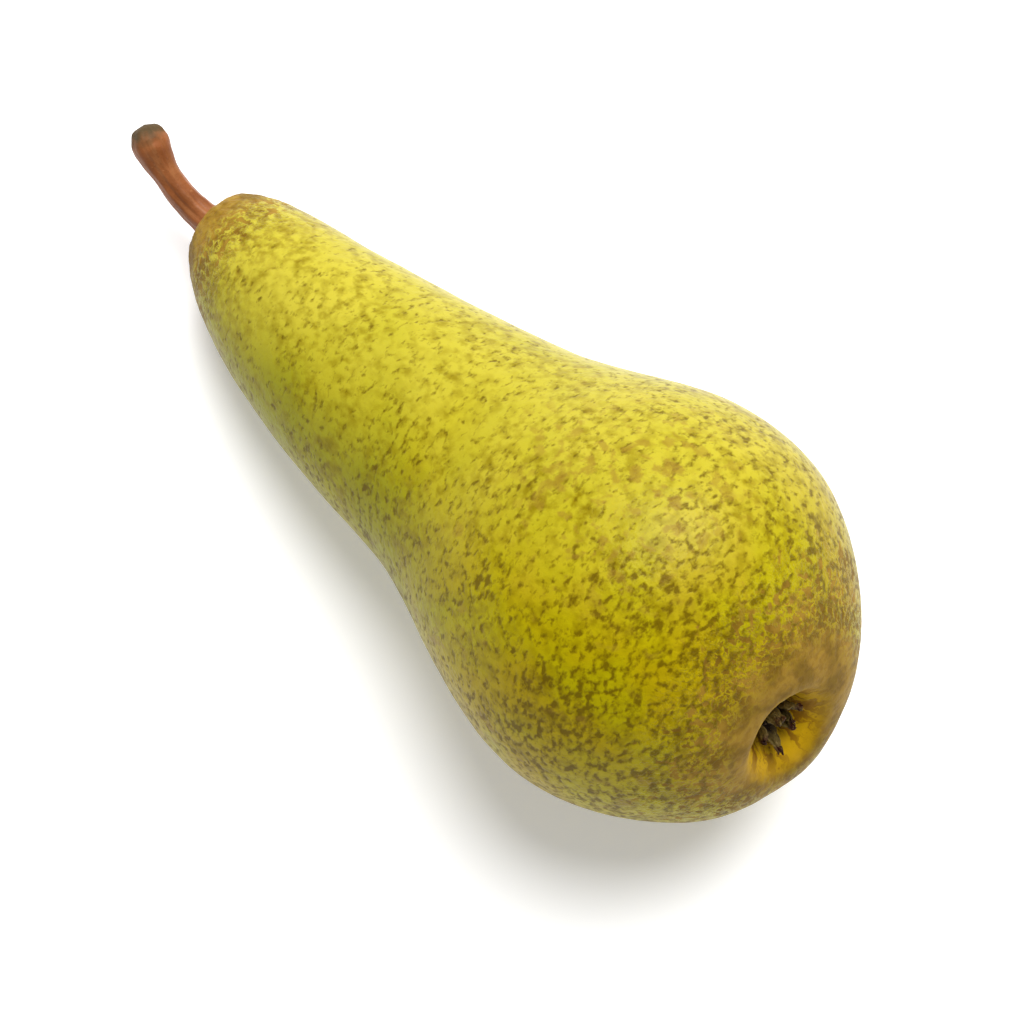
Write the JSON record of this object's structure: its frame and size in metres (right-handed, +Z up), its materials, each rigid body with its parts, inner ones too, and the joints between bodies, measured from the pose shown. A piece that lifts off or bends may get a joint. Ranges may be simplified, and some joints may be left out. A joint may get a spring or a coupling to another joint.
{
  "type": "pear",
  "caption": "Ripe long-necked dessert pear lying on its side: one solid fruit with a bent woody stem and dried sepals in the calyx basin.",
  "frame": {"origin": "middle of the flat resting spot under the fruit's belly, on the surface it lies on", "axes": "+X from the stem towards the calyx end, +Z up away from the surface"},
  "size_m": [0.1464, 0.0632, 0.063],
  "materials": {
    "skin": "satin",
    "stem_bark": "matte",
    "dry_sepal": "matte",
    "dry_filament": "matte"
  },
  "bodies": {
    "root": {"fruit_body": "skin", "stem": "stem_bark", "sepal_1": "dry_sepal", "sepal_2": "dry_sepal", "sepal_3": "dry_sepal", "sepal_4": "dry_sepal", "sepal_5": "dry_sepal", "stamen_1": "dry_filament", "stamen_2": "dry_filament", "stamen_3": "dry_filament", "stamen_4": "dry_filament", "stamen_5": "dry_filament", "stamen_6": "dry_filament", "stamen_7": "dry_filament", "stamen_8": "dry_filament", "stamen_9": "dry_filament", "stamen_10": "dry_filament", "styles": "dry_filament"}
  },
  "joints": []
}
